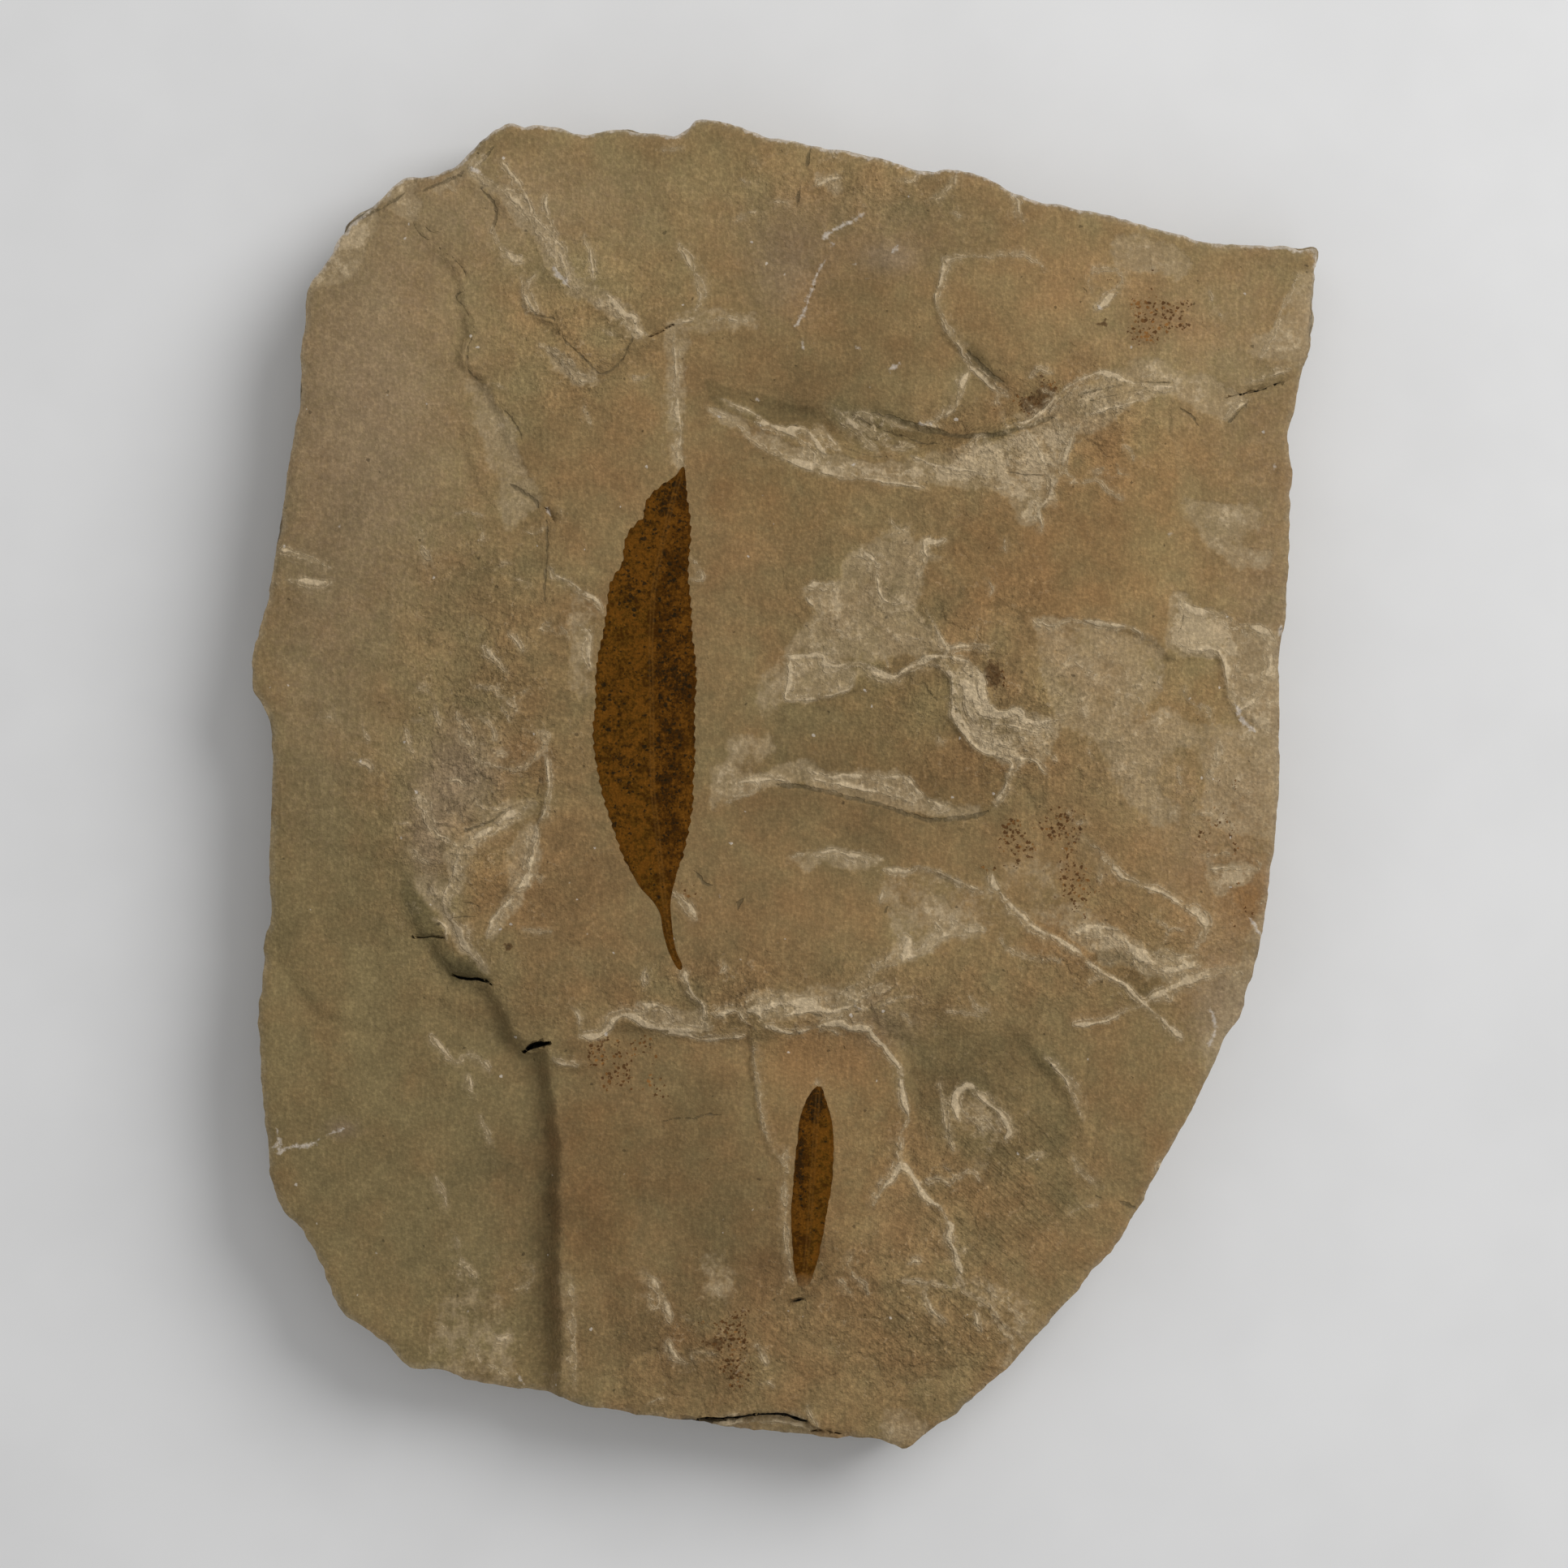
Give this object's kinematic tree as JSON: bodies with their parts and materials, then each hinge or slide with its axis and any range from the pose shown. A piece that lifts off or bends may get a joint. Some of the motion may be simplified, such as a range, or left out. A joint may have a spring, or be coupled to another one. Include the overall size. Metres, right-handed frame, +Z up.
{
  "type": "fossil leaf plate",
  "caption": "Flat split slab of brown shale with broken edges, carrying a toothed lanceolate leaf film and a narrow smaller leaf film flush in its top bedding plane.",
  "frame": {"origin": "under the middle of the plate's bounding box, on the face that it rests on", "axes": "+Y along the big leaf from its stalk to its tip, +X to the right seen from above, +Z up out of the fossil face"},
  "size_m": [0.1323, 0.1647, 0.013],
  "materials": {
    "shale": "matt, finely grainy, laminated at the broken edges",
    "large_leaf": "matt brown carbon film with darker specks",
    "small_leaf": "matt dark brown carbon film"
  },
  "bodies": {
    "root": {"shale_slab": "shale", "large_leaf_film": "large_leaf", "small_leaf_film": "small_leaf"}
  },
  "joints": []
}
